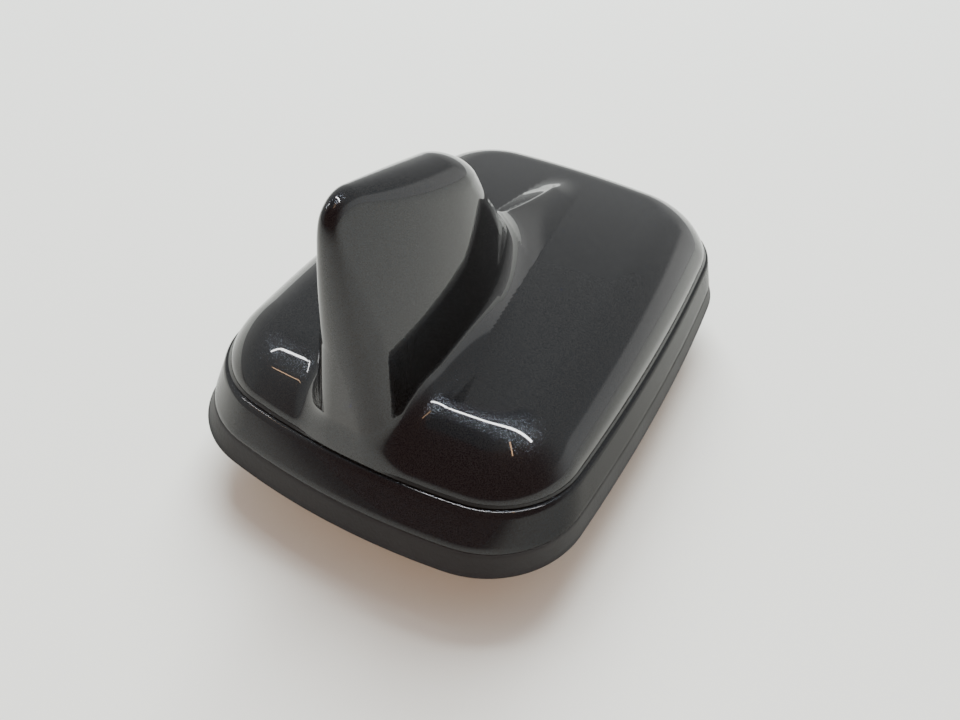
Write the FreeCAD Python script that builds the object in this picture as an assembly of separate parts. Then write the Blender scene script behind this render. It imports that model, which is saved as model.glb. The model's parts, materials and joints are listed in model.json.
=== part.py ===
import FreeCAD, Part
import math
import os

# Car roof antenna, in millimetres: +Y to the front of the car, +Z up, the roof under the seal at z = 0.
# The axis of the roof bolt is the Z axis.

# Base outline, where the seal meets the roof: four bowed sides joined by corner arcs
LENGTH = 115.0
WIDTH = 80.6
SIDE_BOW = 510.0
SIDE_BOW_Y = 1.5
REAR_BOW = 137.0
FRONT_BOW = 206.0
REAR_CORNER = 20.0
FRONT_CORNER = 21.2
CORNER_SHRINK = 0.6

# Seal and skirt: heights, and how far the walls lean in at the rear and at the other sides
SEAL_HEIGHT = 3.8
SEAL_REAR_IN = 2.05
SEAL_SIDE_IN = 1.2
STEP_HEIGHT = 10.65
STEP_REAR_IN = 5.55
STEP_SIDE_IN = 3.1
STEP_LEDGE = 0.5
GROOVE_WIDTH = 0.4
GROOVE_DEPTH = 0.6
NECK_SINK = 0.15

# Dome of the cover
DOME_TOP = 21.95
CROWN_SIDE = 0.7
CROWN_SIDE_AT = 37.0
CROWN_END = 2.7
CROWN_END_AT = 50.0
SHOULDER = 10.2
DOME_DRAFT = 0.243

# Fin: rear face, ridge, leading edge and flanks
FIN_REAR_IN = 6.2
FIN_REAR_Z = 35.0
FIN_LEAN = -0.04
RIDGE_Z = 57.5
RIDGE_AHEAD = 11.3
RIDGE_SLOPE = 0.22
NOSE_AHEAD = 42.9
NOSE_Z = 40.0
NOSE_SLOPE = 1.27
TIP_RADIUS = 7.05
BROW_RADIUS = 4.45
FIN_HALF = 8.1
FIN_HALF_Z = 30.0
FIN_DRAFT = 0.159
WIDEST_AHEAD = 25.9
REAR_FLANK_BOW = 127.0
FRONT_FLANK_BOW = 57.0
FIN_EDGE = 5.0
FIN_BLEND = 4.05
TOE_ROUND = 1.2

# Cover wall and the grid that its curved skin is drawn on
WALL = 2.4
SKIN_SINK = 1.0
SKIN_CENTRE_AHEAD = 27.3
MERIDIANS = 96
MERIDIAN_CROWD = 0.25
RINGS = 56
CREST_SPACING = 1.07
SCAN = 90
REACH = 110.0
SOLVE_STEPS = 30
SPLINE_SWEEPS = 40

# Base plate, its foot through the roof and the roof bolt's tapped hole
PLATE_BOTTOM = 2.0
PLATE_THICK = 2.4
FIT_GAP = 0.3
FOOT_LENGTH = 34.0
FOOT_WIDTH = 31.0
FOOT_Y = -5.0
FOOT_BOTTOM = -12.5
FOOT_CORNER = 4.0
FOOT_CHAMFER = 0.8
BOLT_HOLE_R = 2.5
BOLT_HOLE_TOP = 2.0

# Posts and screws between plate and cover
POST_R = 3.4
POST_SIDE_IN = 13.8
POST_REAR_IN = 26.5
POST_FRONT_IN = 21.5
COVER_SCREW_R = 1.5
COVER_SCREW_LENGTH = 9.0
COVER_HEAD_R = 2.75
COVER_HEAD_HEIGHT = 1.7
SCREW_GAP = 0.05
SCREW_TIP = 0.6
HEAD_RIM = 0.45
HEAD_CROWN = 0.6
HOLE_SPARE = 0.8

# Seal section
SEAL_WIDTH = 8.0
LIP_WIDTH = 2.6
LIP_GROOVE = 1.8
LIP_DEPTH = 1.0
FOOT_SEAL_WIDTH = 3.6

# Main board and its screws
BOARD_Z = 8.0
BOARD_THICK = 1.6
BOARD_SIDE_IN = 18.3
BOARD_REAR_IN = 17.5
BOARD_FRONT_IN = 15.5
BOARD_CORNER = 3.0
STANDOFF_R = 2.6
STANDOFF_SIDE_IN = 3.0
STANDOFF_END_IN = 4.0
BOARD_SCREW_R = 1.1
BOARD_SCREW_LENGTH = 4.6
BOARD_HEAD_R = 2.0
BOARD_HEAD_HEIGHT = 1.3
RIB_HEIGHT = 1.6
RIB_THICK = 1.4

# Sockets for the car's leads, hung under the board through a window in the foot
SOCKET_SIZE = 10.0
SOCKET_CORNER = 1.6
SOCKET_PITCH = 12.0
SOCKET_Y = -13.0
SOCKET_RECESS = 1.0
SOCKET_BORE_R = 3.7
SOCKET_DEPTH = 9.4
KEY_WIDTH = 1.2
KEY_DEPTH = 0.6
WINDOW_GAP = 0.2
CONTACT_R = 0.6
CONTACT_TIP_R = 0.3
CONTACT_TIP_Z = -6.0
CONTACT_PROUD = 0.7

# Shield can with the chips under it
CAN_WIDTH = 30.0
CAN_LENGTH = 16.5
CAN_HEIGHT = 3.4
CAN_Y = -6.75
CAN_WALL = 0.3
CAN_CORNER = 1.2
CHIP_SIZE = 5.0
CHIP_HEIGHT = 0.9
CHIP_X = -6.0
FILTER_LENGTH = 6.0
FILTER_WIDTH = 3.6
FILTER_HEIGHT = 1.3
FILTER_X = 5.0

# Patch antenna for the satellite signal, with its electrode, feed pin and foam pad
PATCH_SIZE = 25.0
PATCH_HEIGHT = 4.0
PATCH_IN = 22.0
PATCH_CHAMFER = 0.4
ELECTRODE_SIZE = 21.0
ELECTRODE_THICK = 0.2
ELECTRODE_CUT = 2.4
FEED_R = 0.6
FEED_OFFSET = 2.5
FEED_HEAD_R = 1.2
FEED_CROWN_R = 0.85
FEED_HEAD_HEIGHT = 0.4
FEED_BELOW = 0.9
PAD_SIZE = 18.0
PAD_TOP_GAP = 0.3

# Upright board in the fin, its clip and the folded plate on its top edge
FIN_BOARD_THICK = 1.0
FIN_BOARD_AHEAD = 6.3
FIN_BOARD_LENGTH = 23.0
FIN_BOARD_TOP = 48.0
FIN_BOARD_RAKE = 6.0
CLIP_SHEET = 0.3
CLIP_LENGTH = 8.0
CLIP_FOOT = 2.2
CLIP_HEIGHT = 6.0
CAP_SHEET = 0.4
CAP_DEPTH = 5.0
CAP_WING = 1.6
CAP_MARGIN = 1.0

# Places that follow from the sizes
REAR_END_Y = -LENGTH / 2
FRONT_END_Y = LENGTH / 2
FIN_REAR_Y = REAR_END_Y + FIN_REAR_IN
RIDGE_Y = FIN_REAR_Y + RIDGE_AHEAD
NOSE_Y = FIN_REAR_Y + NOSE_AHEAD
WIDEST_Y = FIN_REAR_Y + WIDEST_AHEAD
SKIN_CENTRE_Y = FIN_REAR_Y + SKIN_CENTRE_AHEAD
FIN_BOARD_REAR_Y = FIN_REAR_Y + FIN_BOARD_AHEAD
FIN_BOARD_FRONT_Y = FIN_BOARD_REAR_Y + FIN_BOARD_LENGTH
POST_X = WIDTH / 2 - POST_SIDE_IN
POST_REAR_Y = REAR_END_Y + POST_REAR_IN
POST_FRONT_Y = FRONT_END_Y - POST_FRONT_IN
BOARD_WIDTH = WIDTH - 2 * BOARD_SIDE_IN
BOARD_REAR_Y = REAR_END_Y + BOARD_REAR_IN
BOARD_FRONT_Y = FRONT_END_Y - BOARD_FRONT_IN
STANDOFF_X = BOARD_WIDTH / 2 - STANDOFF_SIDE_IN
STANDOFF_REAR_Y = BOARD_REAR_Y + STANDOFF_END_IN
STANDOFF_FRONT_Y = BOARD_FRONT_Y - STANDOFF_END_IN
PATCH_Y = BOARD_FRONT_Y - PATCH_IN
PLATE_TOP = PLATE_BOTTOM + PLATE_THICK
BOARD_TOP = BOARD_Z + BOARD_THICK
PATCH_TOP = BOARD_TOP + PATCH_HEIGHT
POSTS = [(sx * POST_X, y) for sx in (-1, 1) for y in (POST_REAR_Y, POST_FRONT_Y)]
STANDOFFS = [(sx * STANDOFF_X, y) for sx in (-1, 1) for y in (STANDOFF_REAR_Y, STANDOFF_FRONT_Y)]
SOCKET_X = {"phone": -SOCKET_PITCH / 2, "navigation": SOCKET_PITCH / 2}


def vec(x, y, z):
    return FreeCAD.Vector(x, y, z)


# Outline of the base at any inset

def meeting(first, first_reach, second, second_reach):
    """Right-hand point at the given reaches from two centres."""
    dx = second[0] - first[0]
    dy = second[1] - first[1]
    apart = math.hypot(dx, dy)
    along = (first_reach ** 2 - second_reach ** 2 + apart ** 2) / (2 * apart)
    across = math.sqrt(first_reach ** 2 - along ** 2)
    x = first[0] + (along * dx - across * dy) / apart
    y = first[1] + (along * dy + across * dx) / apart
    mirror_x = first[0] + (along * dx + across * dy) / apart
    mirror_y = first[1] + (along * dy - across * dx) / apart
    return (x, y) if x > mirror_x else (mirror_x, mirror_y)


def arcs(rear_in, side_in):
    """Centre and radius of the five arcs of the right half, from the rear to the front."""
    rear = (0.0, REAR_BOW - LENGTH / 2, REAR_BOW - rear_in)
    side = (WIDTH / 2 - SIDE_BOW, SIDE_BOW_Y, SIDE_BOW - side_in)
    front = (0.0, LENGTH / 2 - FRONT_BOW, FRONT_BOW - side_in)
    corners = []
    for end, end_in, radius in ((rear, rear_in, REAR_CORNER), (front, side_in, FRONT_CORNER)):
        corner_r = radius - CORNER_SHRINK * (end_in + side_in) / 2
        corner = meeting(end, end[2] - corner_r, side, side[2] - corner_r)
        corners.append((corner[0], corner[1], corner_r))
    return [rear, corners[0], side, corners[1], front]


def joint_point(big, corner):
    """Point where a corner arc runs into the bowed side beside it."""
    dx = corner[0] - big[0]
    dy = corner[1] - big[1]
    share = big[2] / math.hypot(dx, dy)
    return (big[0] + dx * share, big[1] + dy * share)


def outline_wire(rear_in, side_in, z):
    """Closed wire of the outline at height z."""
    rear, rear_corner, side, front_corner, front = arcs(rear_in, side_in)
    stops = [
        (0.0, rear[1] - rear[2]),
        joint_point(rear, rear_corner),
        joint_point(side, rear_corner),
        joint_point(side, front_corner),
        joint_point(front, front_corner),
        (0.0, front[1] + front[2]),
    ]
    right = []
    left = []
    for arc, start, end in zip((rear, rear_corner, side, front_corner, front), stops, stops[1:]):
        middle_x = (start[0] + end[0]) / 2 - arc[0]
        middle_y = (start[1] + end[1]) / 2 - arc[1]
        share = arc[2] / math.hypot(middle_x, middle_y)
        middle = (arc[0] + middle_x * share, arc[1] + middle_y * share)
        right.append(Part.Arc(*[vec(x, y, z) for x, y in (start, middle, end)]).toShape())
        left.append(Part.Arc(*[vec(-x, y, z) for x, y in (end, middle, start)]).toShape())
    return Part.Wire(right + left[::-1])


def outline_block(z_low, low_in, z_high, high_in):
    """Solid between the outline at two heights, each with its rear and side inset."""
    return Part.makeLoft([outline_wire(*low_in, z_low), outline_wire(*high_in, z_high)], True, True)


def skirt_in(z):
    """Rear and side inset of the skirt's outer face at height z."""
    share = (z - SEAL_HEIGHT) / (STEP_HEIGHT - SEAL_HEIGHT)
    rear_in = SEAL_REAR_IN + share * (STEP_REAR_IN - SEAL_REAR_IN)
    side_in = SEAL_SIDE_IN + share * (STEP_SIDE_IN - SEAL_SIDE_IN)
    return (rear_in, side_in)


def drawn_in(pair, amount):
    return (pair[0] + amount, pair[1] + amount)


# Curved skin of the cover, as the level of a distance formula

def outline_distance(x, y, rear_in, side_in):
    """Distance outside the outline, by the arc whose sector holds the point."""
    x = abs(x)
    rear, rear_corner, side, front_corner, front = arcs(rear_in, side_in)

    def turned_past(big, corner):
        turn = (corner[0] - big[0]) * (y - corner[1]) - (corner[1] - big[1]) * (x - corner[0])
        return turn > 0

    arc = side
    if y < SIDE_BOW_Y and not turned_past(side, rear_corner):
        arc = rear_corner if turned_past(rear, rear_corner) else rear
    elif y > SIDE_BOW_Y and turned_past(side, front_corner):
        arc = front if turned_past(front, front_corner) else front_corner
    return math.hypot(x - arc[0], y - arc[1]) - arc[2]


def within_both(a, b, radius):
    """Distance to what lies inside both faces, with the edge between them rounded."""
    return min(max(a, b), -radius) + math.hypot(max(a + radius, 0.0), max(b + radius, 0.0))


def within_either(a, b, radius):
    """Distance to what lies inside one of two forms, with a fillet where they meet."""
    return max(min(a, b), radius) - math.hypot(max(radius - a, 0.0), max(radius - b, 0.0))


def dome_distance(x, y, z):
    lean = DOME_DRAFT * (z - STEP_HEIGHT) + STEP_LEDGE
    wall = outline_distance(x, y, STEP_REAR_IN + lean, STEP_SIDE_IN + lean)
    crown = CROWN_SIDE * (x / CROWN_SIDE_AT) ** 2 + CROWN_END * (y / CROWN_END_AT) ** 2
    return within_both(wall, z - DOME_TOP + crown, SHOULDER)


def fin_distance(x, y, z):
    rear = FIN_REAR_Y + FIN_LEAN * (z - FIN_REAR_Z) - y
    ridge = (z - RIDGE_Z + RIDGE_SLOPE * (y - RIDGE_Y)) / math.hypot(1.0, RIDGE_SLOPE)
    nose = (z - NOSE_Z + NOSE_SLOPE * (y - NOSE_Y)) / math.hypot(1.0, NOSE_SLOPE)
    profile = within_both(within_both(rear, ridge, TIP_RADIUS), nose, BROW_RADIUS)
    half = FIN_HALF - FIN_DRAFT * (z - FIN_HALF_Z)
    bow = REAR_FLANK_BOW if y < WIDEST_Y else FRONT_FLANK_BOW
    flank = math.hypot(abs(x) + bow - half, y - WIDEST_Y) - bow
    middle = math.hypot(bow - half, y - WIDEST_Y) - bow
    return within_both(flank, profile, min(FIN_EDGE, max(-middle, 0.0)))


def skin_distance(x, y, z):
    """Distance outside the dome and fin, kept behind the upright wall over the step."""
    wall = outline_distance(x, y, STEP_REAR_IN + STEP_LEDGE, STEP_SIDE_IN + STEP_LEDGE)
    form = within_either(dome_distance(x, y, z), fin_distance(x, y, z), FIN_BLEND)
    return within_both(form, wall, TOE_ROUND)


def skin_point(turn, lift, base_z, inset):
    """Point of the skin, drawn in by inset, on a ray from the middle of the base."""
    dx = math.sin(turn) * math.cos(lift)
    dy = -math.cos(turn) * math.cos(lift)
    dz = math.sin(lift)
    low = 0.0
    high = REACH
    for _ in range(SOLVE_STEPS):
        mid = (low + high) / 2
        if skin_distance(dx * mid, SKIN_CENTRE_Y + dy * mid, base_z + dz * mid) + inset < 0:
            low = mid
        else:
            high = mid
    return vec(dx * low, SKIN_CENTRE_Y + dy * low, base_z + dz * low)


def meridian(turn, base_z, inset):
    """Points from the base up to the ridge, evenly spaced about the crest and wider further off."""
    lifts = [math.pi / 2 * (SCAN - i) / SCAN for i in range(SCAN + 1)]
    scan = [skin_point(turn, lift, base_z, inset) for lift in lifts]
    run = [0.0]
    for first, second in zip(scan, scan[1:]):
        run.append(run[-1] + first.distanceToPoint(second))
    even = CREST_SPACING * RINGS
    points = [scan[0]]
    step = 0
    for ring in range(1, RINGS):
        share = ring / RINGS
        target = even * share + (run[-1] - even) * share ** 2
        while run[step + 1] < target:
            step += 1
        part = (target - run[step]) / (run[step + 1] - run[step])
        points.append(skin_point(turn, lifts[step] + part * (lifts[step + 1] - lifts[step]), base_z, inset))
    points.append(scan[-1])
    return points[::-1]


def meridian_turn(i):
    """Turn of a meridian from the rear, closer together along the fin than at the sides."""
    even = 2 * math.pi * i / MERIDIANS
    return even - MERIDIAN_CROWD * math.sin(2 * even)


def column_poles(columns):
    """Poles along each meridian; over the crest the opposite meridian carries on."""
    half = MERIDIANS // 2
    poles = [list(points) for points in columns]
    for _ in range(SPLINE_SWEEPS):
        for i, points in enumerate(columns):
            over = poles[(i + half) % MERIDIANS][RINGS - 1]
            for ring in range(1, RINGS):
                poles[i][ring] = (points[ring] * 6 - poles[i][ring - 1] - poles[i][ring + 1]) / 4
            poles[i][RINGS] = (points[RINGS] * 6 - poles[i][RINGS - 1] - over) / 4
    beyond = [poles[(i + half) % MERIDIANS][RINGS - 1] for i in range(MERIDIANS)]
    return [[p[0] * 2 - p[1]] + p + [b] for p, b in zip(poles, beyond)]


def ring_poles(points):
    """Poles of the closed even spline through a ring of points."""
    poles = list(points)
    for _ in range(SPLINE_SWEEPS):
        for i in range(MERIDIANS):
            poles[i] = (points[i] * 6 - poles[i - 1] - poles[(i + 1) % MERIDIANS]) / 4
    return poles


def skin_block(base_z, inset):
    """Solid under the skin, drawn in by inset, down to base_z."""
    half = MERIDIANS // 2
    right = [meridian(meridian_turn(i), base_z, inset) for i in range(half + 1)]
    left = [[vec(-p.x, p.y, p.z) for p in right[i]] for i in range(half - 1, 0, -1)]
    rows = [ring_poles(row) for row in zip(*column_poles(right + left))]
    grid = [list(column) for column in zip(*rows)]
    round_knots = list(range(MERIDIANS + 1))
    up_knots = list(range(len(rows) + 4))
    skin = Part.BSplineSurface()
    skin.buildFromPolesMultsKnots(grid, [1] * len(round_knots), [1] * len(up_knots), round_knots, up_knots,
                                  True, False, 3, 3)
    top = skin.toShape(0, MERIDIANS, 3, 3 + RINGS)
    rim = [e for e in top.Edges if e.BoundBox.ZMax < base_z + FIT_GAP]
    base = Part.Face(Part.Wire(rim))
    solid = Part.Solid(Part.Shell([top, base]))
    if not solid.isValid():
        solid = Part.Solid(Part.Shell([top, base.reversed()]))
    return solid if solid.Volume > 0 else solid.reversed()


# Small shapes used again and again

def rod(x, y, radius, z_low, z_high):
    return Part.makeCylinder(radius, z_high - z_low, vec(x, y, z_low))


def block(width, length, z_low, z_high, x, y, corner=0.0):
    """Upright block about a centre, with its upright edges rounded."""
    solid = Part.makeBox(width, length, z_high - z_low, vec(x - width / 2, y - length / 2, z_low))
    if corner:
        upright = [e for e in solid.Edges if e.BoundBox.ZLength > (z_high - z_low) / 2]
        solid = solid.makeFillet(corner, upright)
    return solid


def turned(profile, x, y):
    """Solid turned about the upright axis at x, y from radius and height pairs."""
    points = [vec(x + r, y, z) for r, z in profile]
    face = Part.Face(Part.makePolygon(points + points[:1]))
    return face.revolve(vec(x, y, 0), vec(0, 0, 1), 360)


def screw(x, y, seat_z, way, shank_r, length, head_r, head_height):
    """Pan-head screw on a seat, its shank pointing up (1) or down (-1)."""
    rim = head_height * HEAD_RIM
    crown_r = head_r * HEAD_CROWN
    profile = [
        (0, seat_z - way * head_height),
        (crown_r, seat_z - way * head_height),
        (head_r, seat_z - way * rim),
        (head_r, seat_z),
        (shank_r, seat_z),
        (shank_r, seat_z + way * (length - SCREW_TIP)),
        (shank_r - SCREW_TIP, seat_z + way * length),
        (0, seat_z + way * length),
    ]
    return turned(profile, x, y)


# Cover, seal and plate

def make_cover():
    skirt = outline_block(SEAL_HEIGHT, skirt_in(SEAL_HEIGHT), STEP_HEIGHT, skirt_in(STEP_HEIGHT))
    skin_low = STEP_HEIGHT + GROOVE_WIDTH
    neck_in = drawn_in(skirt_in(STEP_HEIGHT), STEP_LEDGE + GROOVE_DEPTH)
    neck = outline_block(STEP_HEIGHT - SKIN_SINK, neck_in, skin_low + NECK_SINK, neck_in)
    outer = skirt.fuse(neck).fuse(skin_block(skin_low, 0.0))
    hollow_top = STEP_HEIGHT - SKIN_SINK
    hollow = outline_block(SEAL_HEIGHT, drawn_in(skirt_in(SEAL_HEIGHT), WALL),
                           hollow_top, drawn_in(skirt_in(hollow_top), WALL))
    shell = outer.cut(hollow).cut(skin_block(hollow_top - WALL, WALL))
    for x, y in POSTS:
        post = rod(x, y, POST_R, PLATE_TOP, DOME_TOP).common(outer)
        shell = shell.fuse(post)
    hole_top = PLATE_BOTTOM + COVER_SCREW_LENGTH + HOLE_SPARE
    for x, y in POSTS:
        shell = shell.cut(rod(x, y, COVER_SCREW_R + SCREW_GAP, PLATE_BOTTOM, hole_top))
    return shell


def plate_in():
    return drawn_in(skirt_in(PLATE_TOP), WALL + FIT_GAP)


def make_roof_seal():
    rim = outline_block(0, (0, 0), SEAL_HEIGHT, skirt_in(SEAL_HEIGHT))
    opening = outline_block(0, (SEAL_WIDTH, SEAL_WIDTH), PLATE_BOTTOM, (SEAL_WIDTH, SEAL_WIDTH))
    seat = outline_block(PLATE_BOTTOM, drawn_in(plate_in(), -FIT_GAP),
                         SEAL_HEIGHT, drawn_in(plate_in(), -FIT_GAP))
    groove_outer = (LIP_WIDTH, LIP_WIDTH)
    groove_inner = (LIP_WIDTH + LIP_GROOVE, LIP_WIDTH + LIP_GROOVE)
    groove = outline_block(0, groove_outer, LIP_DEPTH, groove_outer)
    groove = groove.cut(outline_block(0, groove_inner, LIP_DEPTH, groove_inner))
    return rim.cut(opening).cut(seat).cut(groove)


def make_base_plate():
    plate = outline_block(PLATE_BOTTOM, plate_in(), PLATE_TOP, plate_in())
    foot = block(FOOT_WIDTH, FOOT_LENGTH, FOOT_BOTTOM, PLATE_TOP, 0, FOOT_Y, FOOT_CORNER)
    low_edges = [e for e in foot.Edges if e.BoundBox.ZMax < FOOT_BOTTOM + FOOT_CHAMFER]
    plate = plate.fuse(foot.makeChamfer(FOOT_CHAMFER, low_edges))
    rib_length = STANDOFF_FRONT_Y - STANDOFF_REAR_Y
    rib_y = (STANDOFF_FRONT_Y + STANDOFF_REAR_Y) / 2
    for side in (-1, 1):
        rib = block(RIB_THICK, rib_length, PLATE_TOP, PLATE_TOP + RIB_HEIGHT, side * STANDOFF_X, rib_y)
        plate = plate.fuse(rib)
    for y in (STANDOFF_REAR_Y, STANDOFF_FRONT_Y):
        rib = block(2 * STANDOFF_X, RIB_THICK, PLATE_TOP, PLATE_TOP + RIB_HEIGHT, 0, y)
        plate = plate.fuse(rib)
    for x, y in STANDOFFS:
        plate = plate.fuse(rod(x, y, STANDOFF_R, PLATE_TOP, BOARD_Z))
    for x, y in STANDOFFS:
        tap_low = BOARD_TOP - BOARD_SCREW_LENGTH - HOLE_SPARE
        plate = plate.cut(rod(x, y, BOARD_SCREW_R + SCREW_GAP, tap_low, BOARD_Z))
    for x, y in POSTS:
        plate = plate.cut(rod(x, y, COVER_SCREW_R + SCREW_GAP, PLATE_BOTTOM, PLATE_TOP))
    window_width = SOCKET_PITCH + SOCKET_SIZE + 2 * WINDOW_GAP
    window_length = SOCKET_SIZE + 2 * WINDOW_GAP
    window = block(window_width, window_length, FOOT_BOTTOM, PLATE_TOP, 0, SOCKET_Y, SOCKET_CORNER)
    return plate.cut(window).cut(rod(0, 0, BOLT_HOLE_R, FOOT_BOTTOM, BOLT_HOLE_TOP))


def make_foot_seal():
    outer = block(FOOT_WIDTH + 2 * FOOT_SEAL_WIDTH, FOOT_LENGTH + 2 * FOOT_SEAL_WIDTH, 0, PLATE_BOTTOM,
                  0, FOOT_Y, FOOT_CORNER + FOOT_SEAL_WIDTH)
    inner = block(FOOT_WIDTH + 2 * SCREW_GAP, FOOT_LENGTH + 2 * SCREW_GAP, 0, PLATE_BOTTOM,
                  0, FOOT_Y, FOOT_CORNER + SCREW_GAP)
    return outer.cut(inner)


def make_cover_screws():
    return Part.makeCompound([
        screw(x, y, PLATE_BOTTOM, 1, COVER_SCREW_R, COVER_SCREW_LENGTH, COVER_HEAD_R, COVER_HEAD_HEIGHT)
        for x, y in POSTS])


# Main board and what is soldered to it

def feed_xy():
    return (0.0, PATCH_Y - FEED_OFFSET)


def make_main_board():
    length = BOARD_FRONT_Y - BOARD_REAR_Y
    board = block(BOARD_WIDTH, length, BOARD_Z, BOARD_TOP, 0, BOARD_REAR_Y + length / 2, BOARD_CORNER)
    for x, y in STANDOFFS:
        board = board.cut(rod(x, y, BOARD_SCREW_R + SCREW_GAP, BOARD_Z, BOARD_TOP))
    for x in SOCKET_X.values():
        board = board.cut(rod(x, SOCKET_Y, CONTACT_R + SCREW_GAP, BOARD_Z, BOARD_TOP))
    return board.cut(rod(*feed_xy(), FEED_R + SCREW_GAP, BOARD_Z, BOARD_TOP))


def make_board_screws():
    return Part.makeCompound([
        screw(x, y, BOARD_TOP, -1, BOARD_SCREW_R, BOARD_SCREW_LENGTH, BOARD_HEAD_R, BOARD_HEAD_HEIGHT)
        for x, y in STANDOFFS])


def make_shield_can():
    can = block(CAN_WIDTH, CAN_LENGTH, BOARD_TOP, BOARD_TOP + CAN_HEIGHT, 0, CAN_Y, CAN_CORNER)
    inside = block(CAN_WIDTH - 2 * CAN_WALL, CAN_LENGTH - 2 * CAN_WALL, BOARD_TOP,
                   BOARD_TOP + CAN_HEIGHT - CAN_WALL, 0, CAN_Y, CAN_CORNER - CAN_WALL)
    return can.cut(inside)


def make_amplifier_chip():
    return block(CHIP_SIZE, CHIP_SIZE, BOARD_TOP, BOARD_TOP + CHIP_HEIGHT, CHIP_X, CAN_Y)


def make_signal_filter():
    return block(FILTER_LENGTH, FILTER_WIDTH, BOARD_TOP, BOARD_TOP + FILTER_HEIGHT, FILTER_X, CAN_Y)


def make_socket(x):
    low = FOOT_BOTTOM + SOCKET_RECESS
    body = block(SOCKET_SIZE, SOCKET_SIZE, low, BOARD_Z, x, SOCKET_Y, SOCKET_CORNER)
    bore = rod(x, SOCKET_Y, SOCKET_BORE_R, low, low + SOCKET_DEPTH)
    pin_way = rod(x, SOCKET_Y, CONTACT_R + SCREW_GAP, low + SOCKET_DEPTH, BOARD_Z)
    key_reach = 2 * (SOCKET_BORE_R + KEY_DEPTH)
    key = block(KEY_WIDTH, key_reach, low, low + SOCKET_DEPTH, x, SOCKET_Y)
    return body.cut(bore).cut(key).cut(pin_way)


def make_contact(x):
    profile = [
        (0, CONTACT_TIP_Z),
        (CONTACT_TIP_R, CONTACT_TIP_Z),
        (CONTACT_R, CONTACT_TIP_Z + CONTACT_R),
        (CONTACT_R, BOARD_TOP + CONTACT_PROUD),
        (0, BOARD_TOP + CONTACT_PROUD),
    ]
    return turned(profile, x, SOCKET_Y)


def make_patch_antenna():
    tile = block(PATCH_SIZE, PATCH_SIZE, BOARD_TOP, PATCH_TOP, 0, PATCH_Y)
    upper = [e for e in tile.Edges if e.BoundBox.ZMin > PATCH_TOP - PATCH_CHAMFER]
    tile = tile.makeChamfer(PATCH_CHAMFER, upper)
    return tile.cut(rod(*feed_xy(), FEED_R + SCREW_GAP, BOARD_TOP, PATCH_TOP))


def make_patch_electrode():
    half = ELECTRODE_SIZE / 2
    cut = half - ELECTRODE_CUT
    corners = [(-half, -half), (cut, -half), (half, -cut), (half, half), (-cut, half), (-half, cut)]
    points = [vec(x, PATCH_Y + y, PATCH_TOP) for x, y in corners]
    sheet = Part.Face(Part.makePolygon(points + points[:1])).extrude(vec(0, 0, ELECTRODE_THICK))
    return sheet.cut(rod(*feed_xy(), FEED_R + SCREW_GAP, PATCH_TOP, PATCH_TOP + ELECTRODE_THICK))


def make_patch_pin():
    head_z = PATCH_TOP + ELECTRODE_THICK
    profile = [
        (0, BOARD_Z - FEED_BELOW),
        (FEED_R, BOARD_Z - FEED_BELOW),
        (FEED_R, head_z),
        (FEED_HEAD_R, head_z),
        (FEED_CROWN_R, head_z + FEED_HEAD_HEIGHT),
        (0, head_z + FEED_HEAD_HEIGHT),
    ]
    return turned(profile, *feed_xy())


def make_foam_pad():
    low = PATCH_TOP + ELECTRODE_THICK
    far_corner = (PAD_SIZE / 2, PATCH_Y + PAD_SIZE / 2)
    crown = CROWN_SIDE * (far_corner[0] / CROWN_SIDE_AT) ** 2 + CROWN_END * (far_corner[1] / CROWN_END_AT) ** 2
    high = DOME_TOP - crown - WALL - PAD_TOP_GAP
    pad = block(PAD_SIZE, PAD_SIZE, low, high, 0, PATCH_Y, BOARD_CORNER)
    return pad.cut(rod(*feed_xy(), FEED_HEAD_R + FIT_GAP, low, low + FEED_HEAD_HEIGHT + FIT_GAP))


# Radiator in the fin

def make_fin_board():
    low = BOARD_TOP + CLIP_SHEET
    points = [
        vec(-FIN_BOARD_THICK / 2, FIN_BOARD_REAR_Y, low),
        vec(-FIN_BOARD_THICK / 2, FIN_BOARD_FRONT_Y, low),
        vec(-FIN_BOARD_THICK / 2, FIN_BOARD_FRONT_Y, FIN_BOARD_TOP - FIN_BOARD_RAKE),
        vec(-FIN_BOARD_THICK / 2, FIN_BOARD_FRONT_Y - FIN_BOARD_RAKE, FIN_BOARD_TOP),
        vec(-FIN_BOARD_THICK / 2, FIN_BOARD_REAR_Y, FIN_BOARD_TOP),
    ]
    return Part.Face(Part.makePolygon(points + points[:1])).extrude(vec(FIN_BOARD_THICK, 0, 0))


def folded_strip(profile, y, length):
    """Sheet bent to a profile in x and z, as long as given, about y."""
    points = [vec(x, y - length / 2, z) for x, z in profile]
    return Part.Face(Part.makePolygon(points + points[:1])).extrude(vec(0, length, 0))


def make_fin_clip():
    inner = FIN_BOARD_THICK / 2
    outer = inner + CLIP_SHEET
    low = BOARD_TOP
    floor = BOARD_TOP + CLIP_SHEET
    high = BOARD_TOP + CLIP_HEIGHT
    right = [(CLIP_FOOT, low), (CLIP_FOOT, floor), (outer, floor), (outer, high), (inner, high), (inner, floor)]
    left = [(-x, z) for x, z in right[::-1]]
    return folded_strip(right + left, (FIN_BOARD_REAR_Y + FIN_BOARD_FRONT_Y) / 2, CLIP_LENGTH)


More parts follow.
